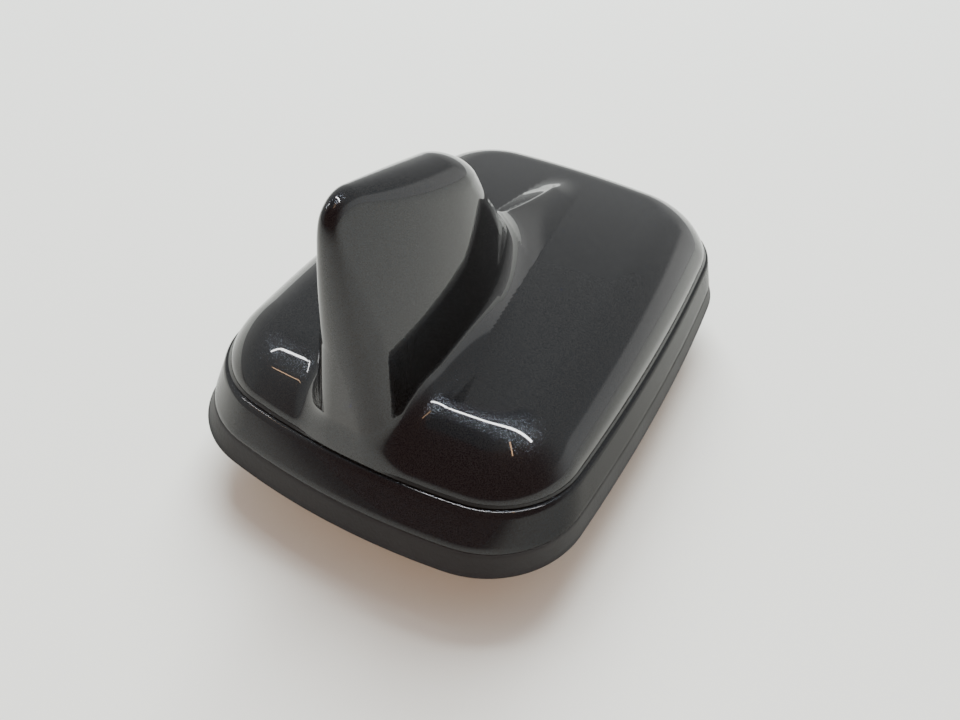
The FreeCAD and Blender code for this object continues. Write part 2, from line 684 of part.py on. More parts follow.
def make_fin_cap():
    inner = FIN_BOARD_THICK / 2
    outer = inner + CAP_SHEET
    low = FIN_BOARD_TOP - CAP_DEPTH
    top = FIN_BOARD_TOP
    length = FIN_BOARD_FRONT_Y - FIN_BOARD_RAKE - FIN_BOARD_REAR_Y - 2 * CAP_MARGIN
    y = FIN_BOARD_REAR_Y + CAP_MARGIN + length / 2
    right = [
        (inner, top),
        (inner, low),
        (inner + CAP_WING, low),
        (inner + CAP_WING, low + CAP_SHEET),
        (outer, low + CAP_SHEET),
        (outer, top + CAP_SHEET),
    ]
    left = [(-x, z) for x, z in right[::-1]]
    return folded_strip(right + left, y, length)


# All pieces

PIECES = {
    "cover": make_cover,
    "roof_seal": make_roof_seal,
    "base_plate": make_base_plate,
    "foot_seal": make_foot_seal,
    "cover_screws": make_cover_screws,
    "main_board": make_main_board,
    "board_screws": make_board_screws,
    "shield_can": make_shield_can,
    "amplifier_chip": make_amplifier_chip,
    "signal_filter": make_signal_filter,
    "patch_antenna": make_patch_antenna,
    "patch_electrode": make_patch_electrode,
    "patch_pin": make_patch_pin,
    "foam_pad": make_foam_pad,
    "fin_board": make_fin_board,
    "fin_clip": make_fin_clip,
    "fin_cap": make_fin_cap,
}

os.makedirs("parts", exist_ok=True)
shapes = {name: make() for name, make in PIECES.items()}
for use, socket_x in SOCKET_X.items():
    shapes[use + "_socket"] = make_socket(socket_x)
    shapes[use + "_contact"] = make_contact(socket_x)
for name, shape in shapes.items():
    shape.exportStep("parts/" + name + ".step")
    box = shape.BoundBox
    print(f"{name}: {len(shape.Solids)} solid, valid {shape.isValid()}, {shape.Volume:.1f} mm3,",
          f"z {box.ZMin:.2f} to {box.ZMax:.2f}")
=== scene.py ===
# %% [markdown]
# # A car roof antenna, dressed for its photograph
#
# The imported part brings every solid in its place, in metres, with the roof plane at z = 0 and the roof bolt on
# the Z axis. This file dresses it: a smooth painted cover, its rubber rim, the cast plate and sockets underneath,
# and a pale studio table with the light that a glossy black paint needs to show its shape.

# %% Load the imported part
import json
import math

import bpy
import numpy as np
from mathutils import Matrix, Vector


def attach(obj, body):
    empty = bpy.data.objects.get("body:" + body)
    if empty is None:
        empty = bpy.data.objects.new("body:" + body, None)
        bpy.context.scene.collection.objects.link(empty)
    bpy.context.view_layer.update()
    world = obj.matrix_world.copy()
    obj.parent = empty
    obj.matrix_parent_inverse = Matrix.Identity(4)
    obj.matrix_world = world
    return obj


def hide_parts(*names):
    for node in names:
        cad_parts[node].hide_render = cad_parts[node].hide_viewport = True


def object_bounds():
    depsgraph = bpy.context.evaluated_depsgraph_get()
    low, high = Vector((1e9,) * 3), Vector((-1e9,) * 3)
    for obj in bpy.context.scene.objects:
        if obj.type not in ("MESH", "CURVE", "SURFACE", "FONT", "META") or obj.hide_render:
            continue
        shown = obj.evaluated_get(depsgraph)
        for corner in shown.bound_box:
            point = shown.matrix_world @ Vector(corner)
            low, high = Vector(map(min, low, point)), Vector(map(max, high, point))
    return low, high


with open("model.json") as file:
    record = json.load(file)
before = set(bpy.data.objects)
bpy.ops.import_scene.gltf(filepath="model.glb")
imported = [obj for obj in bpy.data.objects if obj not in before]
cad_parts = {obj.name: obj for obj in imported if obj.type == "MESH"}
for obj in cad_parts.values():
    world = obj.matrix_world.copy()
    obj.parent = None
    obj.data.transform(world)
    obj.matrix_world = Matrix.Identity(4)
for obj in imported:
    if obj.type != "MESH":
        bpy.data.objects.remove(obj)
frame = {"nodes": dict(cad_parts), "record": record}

cad_low, cad_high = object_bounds()
MM = 0.001
print("nodes:", len(frame["nodes"]), "box in mm:", [round(v / MM, 1) for v in (*cad_low, *cad_high)])

# %% [markdown]
# ## The camera
#
# The view was found by matching the outlines of the base, the paint line, the step and the fin. It is a close,
# fairly wide view from behind and above, rolled by a few degrees. A camera looks along its own -Z, so its
# three axes are the columns of its matrix.

# %% Camera
FOCAL_PX = 780.0
FRAME_W, FRAME_H = 960, 720
AZIMUTH, ELEVATION, ROLL = (math.radians(v) for v in (25.70, 42.61, 4.72))
DISTANCE = 170.45
CENTRE_PX = (486.75, 334.61)

level_back = math.cos(ELEVATION)
back = Vector((math.sin(AZIMUTH) * level_back, -math.cos(AZIMUTH) * level_back, math.sin(ELEVATION)))
level = Vector((math.cos(AZIMUTH), math.sin(AZIMUTH), 0))
upright = level.cross(-back)
right = level * math.cos(ROLL) + upright * math.sin(ROLL)
up = upright * math.cos(ROLL) - level * math.sin(ROLL)
eye = back * DISTANCE
eye -= right * ((CENTRE_PX[0] - FRAME_W / 2) / FOCAL_PX * DISTANCE)
eye += up * ((CENTRE_PX[1] - FRAME_H / 2) / FOCAL_PX * DISTANCE)

camera_data = bpy.data.cameras.new("camera")
camera_data.sensor_width = 36.0
camera_data.sensor_fit = "HORIZONTAL"
camera_data.lens = FOCAL_PX * camera_data.sensor_width / FRAME_W
camera_data.clip_start = 0.01
camera = bpy.data.objects.new("camera", camera_data)
bpy.context.scene.collection.objects.link(camera)
camera.matrix_world = Matrix.Translation(eye * MM) @ Matrix((right, up, back)).transposed().to_4x4()
bpy.context.scene.camera = camera
print("camera at", [round(v, 1) for v in eye], "mm, lens", round(camera_data.lens, 2), "mm")

# %% [markdown]
# ## Shader maths as plain sums
#
# A finish is easier to read as a sum than as a web of nodes. One small class wraps a socket: arithmetic on it adds
# Math nodes, and `node` adds any other kind. What stays the same all over a surface is set on the shader itself.

# %% The class for shader maths
class Shade:
    """A socket of a finish's node tree, or the tree itself; arithmetic on it adds Math nodes."""

    def __init__(self, tree, socket=None):
        self.tree = tree
        self.socket = socket

    def node(self, kind, settings=None, out=0, **values):
        made = self.tree.nodes.new(kind)
        for name, value in (settings or {}).items():
            setattr(made, name, value)
        for name, value in values.items():
            inlet = made.inputs[int(name[1:])] if name[0] == "_" else made.inputs[name.replace("_", " ")]
            if isinstance(value, Shade):
                self.tree.links.new(value.socket, inlet)
            else:
                inlet.default_value = value
        return Shade(self.tree, made.outputs[out])

    def maths(self, operation, first, second=0.0, third=0.0):
        return self.node("ShaderNodeMath", {"operation": operation}, _0=first, _1=second, _2=third)

    def __add__(self, other):
        return self.maths("ADD", self, other)

    def __radd__(self, other):
        return self.maths("ADD", other, self)

    def __sub__(self, other):
        return self.maths("SUBTRACT", self, other)

    def __rsub__(self, other):
        return self.maths("SUBTRACT", other, self)

    def __mul__(self, other):
        return self.maths("MULTIPLY", self, other)

    def __rmul__(self, other):
        return self.maths("MULTIPLY", other, self)

    def __truediv__(self, other):
        return self.maths("DIVIDE", self, other)

    def __pow__(self, other):
        return self.maths("POWER", self, other)

    def between(self, low, high):
        """0 below low, 1 above high, smooth in between."""
        return self.node("ShaderNodeMapRange", {"interpolation_type": "SMOOTHSTEP"},
                         _0=self, _1=low, _2=high, _3=0.0, _4=1.0)


def finish(name, **constants):
    """A material with one shader, its constant sockets set, and the tree to build on."""
    material = bpy.data.materials.new(name)
    material.use_nodes = True
    shader = material.node_tree.nodes["Principled BSDF"]
    for socket, value in constants.items():
        shader.inputs[socket.replace("_", " ")].default_value = value
    return material, Shade(material.node_tree)


def feed(material, **links):
    """Link what varies over the surface into the shader's sockets."""
    shader = material.node_tree.nodes["Principled BSDF"]
    for socket, value in links.items():
        material.node_tree.links.new(value.socket, shader.inputs[socket.replace("_", " ")])


def blend_colour(tree, factor, first, second):
    return tree.node("ShaderNodeMix", {"data_type": "RGBA"}, out=2, _0=factor, _6=first, _7=second)


def bumped(tree, height, distance, strength=1.0):
    return tree.node("ShaderNodeBump", None, Strength=strength, Distance=distance, Height=height)


print("shader maths ready")

# %% [markdown]
# ## The form of the cover
#
# The real cover is moulded: a low dome with a fin drawn out of it, every meeting rounded. Such a form can be
# sculpted, but the reflections of a gloss paint show every dent. Here it is the zero level of a distance formula, so
# it is smooth at any density. The solid is made from the same formula, apart from the low spine that runs ahead
# of the fin, which only this file has. Sizes are in millimetres.

# %% Sizes of the cover
LENGTH, WIDTH = 115.0, 80.6
SIDE_BOW, SIDE_BOW_Y, REAR_BOW, FRONT_BOW = 510.0, 1.5, 137.0, 206.0
REAR_CORNER, FRONT_CORNER, CORNER_SHRINK = 20.0, 21.2, 0.6
SEAL_HEIGHT, SEAL_REAR_IN, SEAL_SIDE_IN = 3.8, 2.05, 1.2
STEP_HEIGHT, STEP_REAR_IN, STEP_SIDE_IN, STEP_LEDGE = 10.65, 5.55, 3.1, 0.5
DOME_TOP, SHOULDER, DOME_DRAFT = 21.95, 10.2, 0.243
CROWN_SIDE, CROWN_SIDE_AT, CROWN_END, CROWN_END_AT = 0.7, 37.0, 2.7, 50.0
FIN_REAR_Y, FIN_REAR_Z, FIN_LEAN = -51.3, 35.0, -0.04
RIDGE_Z, RIDGE_Y, RIDGE_SLOPE = 57.5, -40.0, 0.22
NOSE_Y, NOSE_Z, NOSE_SLOPE = -8.4, 40.0, 1.27
TIP_RADIUS, BROW_RADIUS = 7.05, 4.45
FIN_HALF, FIN_HALF_Z, FIN_DRAFT = 8.1, 30.0, 0.159
WIDEST_Y, REAR_FLANK_BOW, FRONT_FLANK_BOW = -25.4, 127.0, 57.0
FIN_EDGE, FIN_BLEND, TOE_ROUND, WALL = 5.0, 4.05, 1.2, 2.4
SKIN_CENTRE_Y = -24.0
SPINE_HEIGHT, SPINE_Y, SPINE_END_Y, SPINE_FADE = 8.5, 0.6, 46.0, 1.7
SPINE_REAR_Y, SPINE_RISE, SPINE_HALF, SPINE_TAPER, SPINE_EDGE = -35.0, 20.0, 8.6, 0.12, 0.3
SPINE_TIP_Y, SPINE_TIP = 39.0, 11.0
print("cover:", LENGTH, "by", WIDTH, "mm at the roof")

# %% Distance formula of the cover
def meeting(first, first_reach, second, second_reach):
    """Right-hand point at the given reaches from two centres."""
    dx, dy = second[0] - first[0], second[1] - first[1]
    apart = math.hypot(dx, dy)
    along = (first_reach ** 2 - second_reach ** 2 + apart ** 2) / (2 * apart)
    across = np.sqrt(first_reach ** 2 - along ** 2) * -math.copysign(1.0, dy)
    return first[0] + (along * dx - across * dy) / apart, first[1] + (along * dy + across * dx) / apart


def arcs(rear_in, side_in):
    """Centre and radius of the five arcs of the right half, from the rear to the front."""
    rear = (0.0, REAR_BOW - LENGTH / 2, REAR_BOW - rear_in)
    side = (WIDTH / 2 - SIDE_BOW, SIDE_BOW_Y, SIDE_BOW - side_in)
    front = (0.0, LENGTH / 2 - FRONT_BOW, FRONT_BOW - side_in)
    corners = []
    for end, end_in, radius in ((rear, rear_in, REAR_CORNER), (front, side_in, FRONT_CORNER)):
        corner_r = radius - CORNER_SHRINK * (end_in + side_in) / 2
        corners.append((*meeting(end, end[2] - corner_r, side, side[2] - corner_r), corner_r))
    return rear, corners[0], side, corners[1], front


def outline_distance(x, y, rear_in, side_in):
    """Distance outside the outline, by the arc whose sector holds the point."""
    x = np.abs(x)
    rear, rear_corner, side, front_corner, front = arcs(rear_in, side_in)

    def past(big, corner):
        return (corner[0] - big[0]) * (y - corner[1]) - (corner[1] - big[1]) * (x - corner[0]) > 0

    def gap(arc):
        return np.hypot(x - arc[0], y - arc[1]) - arc[2]

    behind = np.where(past(side, rear_corner), gap(side),
                      np.where(past(rear, rear_corner), gap(rear_corner), gap(rear)))
    ahead = np.where(past(side, front_corner),
                     np.where(past(front, front_corner), gap(front), gap(front_corner)), gap(side))
    return np.where(y < SIDE_BOW_Y, behind, ahead)


def within_both(a, b, radius):
    """Distance to what lies inside both faces, with the edge between them rounded."""
    return np.minimum(np.maximum(a, b), -radius) + np.hypot(np.maximum(a + radius, 0), np.maximum(b + radius, 0))


def within_either(a, b, radius):
    """Distance to what lies inside one of two forms, with a fillet where they meet."""
    return np.maximum(np.minimum(a, b), radius) - np.hypot(np.maximum(radius - a, 0), np.maximum(radius - b, 0))


def spine(x, y):
    """Height over the dome of the low spine that runs from the fin's leading edge to the front."""
    onward = np.clip((SPINE_END_Y - y) / (SPINE_END_Y - SPINE_Y), 0, 1) ** SPINE_FADE
    behind = np.clip((y - SPINE_REAR_Y) / SPINE_RISE, 0, 1)
    half = SPINE_HALF - SPINE_TAPER * y
    ending = np.clip((SPINE_TIP_Y - y) / SPINE_TIP, 0, 1)
    ending = ending * ending * (3 - 2 * ending)
    return SPINE_HEIGHT * onward * behind * ending * np.clip(1 - np.hypot(x, SPINE_EDGE) / half, 0, 1)


def dome_distance(x, y, z):
    lean = DOME_DRAFT * (z - STEP_HEIGHT) + STEP_LEDGE
    wall = outline_distance(x, y, STEP_REAR_IN + lean, STEP_SIDE_IN + lean)
    crown = CROWN_SIDE * (x / CROWN_SIDE_AT) ** 2 + CROWN_END * (y / CROWN_END_AT) ** 2
    return within_both(wall, z - DOME_TOP + crown - spine(x, y), SHOULDER)


def fin_distance(x, y, z):
    rear = FIN_REAR_Y + FIN_LEAN * (z - FIN_REAR_Z) - y
    ridge = (z - RIDGE_Z + RIDGE_SLOPE * (y - RIDGE_Y)) / math.hypot(1.0, RIDGE_SLOPE)
    nose = (z - NOSE_Z + NOSE_SLOPE * (y - NOSE_Y)) / math.hypot(1.0, NOSE_SLOPE)
    profile = within_both(within_both(rear, ridge, TIP_RADIUS), nose, BROW_RADIUS)
    half = FIN_HALF - FIN_DRAFT * (z - FIN_HALF_Z)
    bow = np.where(y < WIDEST_Y, REAR_FLANK_BOW, FRONT_FLANK_BOW)
    flank = np.hypot(np.abs(x) + bow - half, y - WIDEST_Y) - bow
    middle = np.hypot(bow - half, y - WIDEST_Y) - bow
    return within_both(flank, profile, np.minimum(FIN_EDGE, np.maximum(-middle, 0)))


def skin_distance(x, y, z):
    """Distance outside the dome and fin, kept behind the upright wall over the step."""
    wall = outline_distance(x, y, STEP_REAR_IN + STEP_LEDGE, STEP_SIDE_IN + STEP_LEDGE)
    form = within_either(dome_distance(x, y, z), fin_distance(x, y, z), FIN_BLEND)
    return within_both(form, wall, TOE_ROUND)


heights = np.arange(20, 40, 0.1)
over_bolt = np.interp(0, [float(skin_distance(0, 0, z)) for z in heights], heights)
print("height of the skin over the roof bolt:", round(float(over_bolt), 2))

# %% [markdown]
# ## From the formula to a mesh
#
# Rays leave the middle of the base in all directions, and halving the distance again and again finds where each
# one meets the skin. The rays are set so that the points lie evenly along each meridian and closer together on
# the thin fin. Only the right half is solved, and the left half is its mirror image.

# %% Meridians of the skin
MERIDIANS = 320
HALF = MERIDIANS // 2
CROWD = 0.25
EVEN_RUN = 60.0
REACH = 110.0
HALVINGS = 34
SCAN_POINTS = 181

even = np.pi * np.arange(HALF + 1) / HALF
TURNS = even - CROWD * np.sin(2 * even)


def halve(outside, shape):
    """Largest reach along each ray that is still inside."""
    low, high = np.zeros(shape), np.full(shape, REACH)
    for _ in range(HALVINGS):
        middle = (low + high) / 2
        beyond = outside(middle) >= 0
        high = np.where(beyond, middle, high)
        low = np.where(beyond, low, middle)
    return low


def skin_points(lift, base_z, inset):
    """Points where rays at the lift angles meet the skin, drawn in by inset."""
    turn = TURNS[:, None]
    ray = np.stack([np.sin(turn) * np.cos(lift), -np.cos(turn) * np.cos(lift), np.sin(lift)])
    centre = np.array([0.0, SKIN_CENTRE_Y, base_z])[:, None, None]
    reach = halve(lambda r: skin_distance(*(centre + r * ray)) + inset, lift.shape)
    return np.moveaxis(centre + reach * ray, 0, -1)


def skin_rings(base_z, inset, rings):
    """Rings of the right half from the crest down to the base, evenly spaced along each meridian."""
    scan = np.repeat(np.linspace(np.pi / 2, 0, SCAN_POINTS)[None], HALF + 1, 0)
    points = skin_points(scan, base_z, inset)
    run = np.concatenate([np.zeros((HALF + 1, 1)), np.linalg.norm(np.diff(points, axis=1), axis=2).cumsum(1)], 1)
    share = np.arange(1, rings + 1) / rings
    target = EVEN_RUN * share + (run[:, -1:] - EVEN_RUN) * share ** 2
    lift = np.array([np.interp(t, r, s) for t, r, s in zip(target, run, scan)])
    crest = points[:1, 0]
    return crest[0], list(np.moveaxis(skin_points(lift, base_z, inset), 1, 0))


def rim_ring(rear_in, side_in, z):
    """Ring of the base outline at a height, with its rear and side inset."""
    sine, cosine = np.sin(TURNS), -np.cos(TURNS)
    reach = halve(lambda r: outline_distance(r * sine, SKIN_CENTRE_Y + r * cosine, rear_in, side_in), TURNS.shape)
    return np.stack([reach * sine, SKIN_CENTRE_Y + reach * cosine, np.full(TURNS.shape, z)], 1)


def whole(ring):
    """The right half of a ring with its mirror image."""
    return np.concatenate([ring, ring[-2:0:-1] * (-1, 1, 1)])


print("meridians:", MERIDIANS, "from", np.degrees(TURNS[1] - TURNS[0]).round(2), "degrees apart at the fin")

# %% A mesh from stacked rings
def ring_mesh(name, rings, crest=None, foot=None, closed=False):
    """Object of quads between rings, with a point at either end, or the last ring joined to the first."""
    count = len(rings[0])
    verts = np.concatenate(rings)
    step = np.arange(count)
    onward = (step + 1) % count
    faces = []
    pairs = list(range(len(rings) - 1)) + ([len(rings) - 1] if closed else [])
    for ring in pairs:
        a, b = ring * count, (ring + 1) % len(rings) * count
        faces += np.stack([a + step, b + step, b + onward, a + onward], 1).tolist()
    for point, ring, flip in ((crest, 0, False), (foot, len(rings) - 1, True)):
        if point is not None:
            verts = np.concatenate([verts, [point]])
            first, second = ring * count + step, ring * count + onward
            fan = np.stack([np.full(count, len(verts) - 1), *((second, first) if flip else (first, second))], 1)
            faces += fan.tolist()
    mesh = bpy.data.meshes.new(name)
    mesh.from_pydata((verts * MM).tolist(), [], faces)
    mesh.update()
    mesh.polygons.foreach_set("use_smooth", np.ones(len(mesh.polygons), bool))
    piece = bpy.data.objects.new(name, mesh)
    bpy.context.scene.collection.objects.link(piece)
    return piece


print("ring meshes ready")

# %% [markdown]
# ## The cover
#
# Below the dome runs a fine groove, then the sloped skirt, down to an edge that sits on the rubber. The dome's lip
# and the skirt's top edge are rounded by a few tenths of a millimetre: they catch the two thin bright lines
# that the photograph shows along the step. Inside, the wall follows at its thickness. The tip is kept within the
# solids' box, and the dome's normals come from the formula's own slope, so reflections have clean edges.

# %% Cover
def skirt_in(z):
    share = (z - SEAL_HEIGHT) / (STEP_HEIGHT - SEAL_HEIGHT)
    return (SEAL_REAR_IN + share * (STEP_REAR_IN - SEAL_REAR_IN),
            SEAL_SIDE_IN + share * (STEP_SIDE_IN - SEAL_SIDE_IN))


def drawn_in(pair, amount):
    return pair[0] + amount, pair[1] + amount


LIP, ROOF_DROP = 0.45, 1.0
DOME_RINGS, HOLLOW_RINGS, SKIRT_RINGS = 170, 60, 9
GROOVE = [(0.58, 0.38), (0.62, 0.32), (0.70, 0.26), (0.82, 0.21), (0.86, 0.14), (0.80, 0.06), (0.62, 0.02),
          (0.42, 0.0), (0.26, -0.02), (0.13, -0.08), (0.06, -0.16)]
EDGE_ROUND = [(0.03, 0.32), (0.06, 0.18), (0.14, 0.08), (0.28, 0.02), (0.42, 0.0)]

hollow_z = STEP_HEIGHT - ROOF_DROP - WALL
crest, dome = skin_rings(STEP_HEIGHT + LIP, 0.0, DOME_RINGS)
inner_crest, hollow = skin_rings(hollow_z, WALL, HOLLOW_RINGS)
groove = [rim_ring(STEP_REAR_IN + i, STEP_SIDE_IN + i, STEP_HEIGHT + z) for i, z in GROOVE]
skirt_z = np.linspace(STEP_HEIGHT - 0.3, SEAL_HEIGHT + 0.5, SKIRT_RINGS)
skirt = [rim_ring(*skirt_in(z), z) for z in skirt_z]
edge = [rim_ring(*drawn_in(skirt_in(SEAL_HEIGHT + z), i), SEAL_HEIGHT + z) for i, z in EDGE_ROUND]
inner = [rim_ring(*drawn_in(skirt_in(z), WALL), z) for z in (SEAL_HEIGHT, hollow_z)]
cover_rings = dome + groove + skirt + edge + inner + hollow[::-1]
headroom = (np.inf, np.inf, cad_high[2] / MM)
cover = ring_mesh("cover_shell", [np.minimum(whole(r), headroom) for r in cover_rings], crest, inner_crest)

slope_step = 0.02
outside = np.concatenate([whole(r) for r in dome])
slope = np.stack([skin_distance(*(outside + step).T) - skin_distance(*(outside - step).T)
                  for step in np.eye(3) * slope_step], 1)
normals = np.empty(len(cover.data.vertices) * 3)
cover.data.vertex_normals.foreach_get("vector", normals)
normals = normals.reshape(-1, 3)
normals[:len(slope)] = slope / np.linalg.norm(slope, axis=1, keepdims=True)
cover.data.normals_split_custom_set_from_vertices(normals.tolist())
print("cover:", len(cover.data.polygons), "faces, top at", round(crest[2], 1), "mm")

# %% [markdown]
# ## The rubber rim
#
# The seal is moulded rubber with a flared foot. Its outer face continues the skirt, so it is made from the same
# meridians, with a rounded foot and a groove underneath that leaves two lips on the roof.

# %% Rubber rim
PLATE_BOTTOM, PLATE_TOP = 2.0, 4.4
SEAL_WIDTH, LIP_WIDTH, LIP_GROOVE, LIP_DEPTH = 8.0, 2.6, 1.8, 1.0

top_in = skirt_in(SEAL_HEIGHT)
seat_in = drawn_in(skirt_in(PLATE_TOP), WALL)


def flare(z):
    """Inset of the rim's outer face, a little hollow towards its foot."""
    share = (z / SEAL_HEIGHT) ** 0.85
    return top_in[0] * share, top_in[1] * share


seal_rings = [rim_ring(*drawn_in(top_in, i), SEAL_HEIGHT - d) for i, d in ((0.5, 0.0), (0.2, 0.02), (0.1, 0.08))]
seal_rings += [rim_ring(*drawn_in(flare(z), 0.05), z) for z in np.linspace(SEAL_HEIGHT - 0.2, 0.45, 8)]
seal_rings += [rim_ring(i, i, z) for i, z in ((0.06, 0.25), (0.12, 0.12), (0.25, 0.03), (0.45, 0.0))]
seal_rings += [rim_ring(i, i, z) for i, z in (
    (LIP_WIDTH - 0.2, 0.0), (LIP_WIDTH, 0.2), (LIP_WIDTH, LIP_DEPTH), (LIP_WIDTH + LIP_GROOVE, LIP_DEPTH),
    (LIP_WIDTH + LIP_GROOVE, 0.2), (LIP_WIDTH + LIP_GROOVE + 0.2, 0.0), (SEAL_WIDTH - 0.2, 0.0),
    (SEAL_WIDTH, 0.2), (SEAL_WIDTH, PLATE_BOTTOM))]
seal_rings += [rim_ring(*seat_in, z) for z in (PLATE_BOTTOM, SEAL_HEIGHT)]
seal = ring_mesh("seal_rim", [whole(r) for r in seal_rings], closed=True)
print("rim:", len(seal.data.polygons), "faces")

# %% [markdown]
# ## Finishes
#
# The cover is black metallic paint under clear coat. The pigment is almost black and carries fine mica flakes, each
# lying at its own small tilt, so that they light up only near the reflection of a lamp. A cell pattern draws
# which cells are flakes and how each one leans, and the clear coat gives the sharp mirror on top, which stays
# smooth because its own normal is left alone. On the skirt's long sides the coat is thinner, because they mirror less.

# %% Black paint
FLAKES_PER_METRE = 14000.0
FLAKE_LEAN = 0.25
SIDE_DULL, SIDE_FROM, SIDE_TO, SIDE_EDGE = 0.6, 26 * MM, 37 * MM, 0.2 * MM
paint, tree = finish("black_paint", Roughness=0.18, Specular_IOR_Level=0.0, Coat_Roughness=0.012,
                     Coat_IOR=1.37, Specular_Tint=(0.1, 0.1, 0.1, 1))
place = tree.node("ShaderNodeTexCoord", out=3)
cells = tree.node("ShaderNodeTexVoronoi", {"feature": "F1"}, out=1, Vector=place, Scale=FLAKES_PER_METRE)
draw = tree.maths("FRACT", tree.node("ShaderNodeSeparateColor", None, Color=cells) * 17.0)
flake = draw.between(0.40, 0.60)
cloud = tree.node("ShaderNodeTexNoise", None, Vector=place, Scale=60.0, Detail=3.0)
body = blend_colour(tree, cloud, (0.0165, 0.0165, 0.0163, 1), (0.0185, 0.0185, 0.0183, 1))
lean = tree.node("ShaderNodeVectorMath", {"operation": "SUBTRACT"}, _0=cells, _1=(0.5, 0.5, 0.5))
lean = tree.node("ShaderNodeVectorMath", {"operation": "SCALE"}, _0=lean, Scale=flake * FLAKE_LEAN)
outward = tree.node("ShaderNodeNewGeometry", out=1)
facing = tree.node("ShaderNodeVectorMath", {"operation": "ADD"}, _0=outward, _1=lean)
facing = tree.node("ShaderNodeVectorMath", {"operation": "NORMALIZE"}, _0=facing)
across, _, height = (tree.node("ShaderNodeSeparateXYZ", None, out=i, Vector=place) for i in range(3))
sides = tree.maths("ABSOLUTE", across).between(SIDE_FROM, SIDE_TO)
below = 1 - height.between(STEP_HEIGHT * MM - SIDE_EDGE, STEP_HEIGHT * MM + SIDE_EDGE)
feed(paint, Base_Color=blend_colour(tree, flake, body, (0.014, 0.016, 0.019, 1)), Metallic=flake, Normal=facing,
     Coat_Weight=1 - SIDE_DULL * sides * below)
print("paint: flakes of about", round(1000 / FLAKES_PER_METRE, 2), "mm")

# %% [markdown]
# Rubber, metal, plastic and foam differ in three ways: how cloudy the tone is, how uneven the gloss is, and how
# deep the grain stands. One helper takes those as values, and each row below is one finish: its two tones, the scales
# of patches and grain, the range of roughness, the grain's depth in metres, and whether it is a metal.

# %% A finish with grain
def grained(name, dark, light, patch, grain, rough, depth, **constants):
    """A finish whose tone and gloss change in patches and whose surface has a fine raised grain."""
    material, tree = finish(name, **constants)
    place = tree.node("ShaderNodeTexCoord", out=3)
    cloud = tree.node("ShaderNodeTexNoise", None, Vector=place, Scale=patch, Detail=3.0)
    fine = tree.node("ShaderNodeTexNoise", None, Vector=place, Scale=grain, Detail=3.0)
    feed(material, Base_Color=blend_colour(tree, cloud.between(0.3, 0.7), (*dark, 1), (*light, 1)),
         Roughness=rough[0] + (rough[1] - rough[0]) * cloud, Normal=bumped(tree, fine, depth))
    return material


rubber = grained("seal_rubber", (0.006, 0.006, 0.006), (0.011, 0.011, 0.0108), 90.0, 1800.0, (0.55, 0.75), 0.00006)
finishes = {
    name: grained(name, dark, light, patch, grain, rough, depth, Metallic=metal)
    for name, dark, light, patch, grain, rough, depth, metal in (
        ("foam_rubber", (0.03, 0.03, 0.03), (0.055, 0.055, 0.056), 300.0, 2600.0, (0.85, 0.98), 0.0002, 0.0),
        ("screw_steel", (0.50, 0.50, 0.48), (0.66, 0.65, 0.60), 400.0, 3000.0, (0.22, 0.40), 0.00001, 1.0),
        ("tinned_sheet", (0.58, 0.58, 0.56), (0.70, 0.70, 0.68), 250.0, 1500.0, (0.25, 0.42), 0.00001, 1.0),
        ("chip_resin", (0.014, 0.014, 0.015), (0.024, 0.024, 0.025), 700.0, 6000.0, (0.50, 0.65), 0.00002, 0.0),
        ("patch_ceramic", (0.55, 0.46, 0.35), (0.66, 0.56, 0.44), 500.0, 5000.0, (0.55, 0.75), 0.00003, 0.0),
        ("silver_face", (0.70, 0.69, 0.66), (0.80, 0.79, 0.76), 300.0, 4000.0, (0.25, 0.40), 0.00001, 1.0),
        ("contact_brass", (0.68, 0.48, 0.18), (0.80, 0.60, 0.26), 500.0, 3000.0, (0.18, 0.32), 0.00001, 1.0),
        ("red_socket", (0.42, 0.045, 0.022), (0.52, 0.06, 0.03), 200.0, 4000.0, (0.36, 0.50), 0.00002, 0.0),
        ("blue_socket", (0.022, 0.08, 0.34), (0.03, 0.11, 0.42), 200.0, 4000.0, (0.36, 0.50), 0.00002, 0.0),
    )
}
print("finishes with grain:", len(finishes) + 1)

# %% [markdown]
# The base plate is die-cast, so its skin is pale, a little mottled and satin. The bolt hole in its foot is tapped:
# the thread is a rising groove, one turn for each millimetre of height, drawn from the angle round the bolt
# axis and the height, and kept to the hole's wall.

# %% Cast plate with a tapped hole
BOLT_R = 2.5 * MM
PITCH = 1.0 * MM
cast, tree = finish("cast_plate", Metallic=1.0)
place = tree.node("ShaderNodeTexCoord", out=3)
across, along, height = (tree.node("ShaderNodeSeparateXYZ", None, out=i, Vector=place) for i in range(3))
radius = (across * across + along * along) ** 0.5
turn = tree.maths("ARCTAN2", along, across) / (2 * math.pi)
thread = tree.maths("PINGPONG", height / PITCH + turn, 0.5) * (1 - radius.between(BOLT_R * 1.02, BOLT_R * 1.06))
mottle = tree.node("ShaderNodeTexNoise", None, Vector=place, Scale=220.0, Detail=4.0)
skin = tree.node("ShaderNodeTexNoise", None, Vector=place, Scale=2400.0, Detail=3.0)
feed(cast, Base_Color=blend_colour(tree, mottle.between(0.3, 0.7), (0.46, 0.46, 0.47, 1), (0.60, 0.60, 0.61, 1)),
     Roughness=0.34 + 0.22 * mottle, Normal=bumped(tree, thread + skin * 0.06, 0.0006))
finishes["cast_plate"] = cast
print("thread of", round(PITCH / MM, 1), "mm pitch in a hole", round(2 * BOLT_R / MM, 1), "mm across")

# %% [markdown]
# A circuit board is glass laminate under green solder mask. Copper runs under the mask show as slightly raised,
# lighter lines, and tinned pads stand bare. A brick pattern of thin lines gives the runs, and a cell pattern the pads.

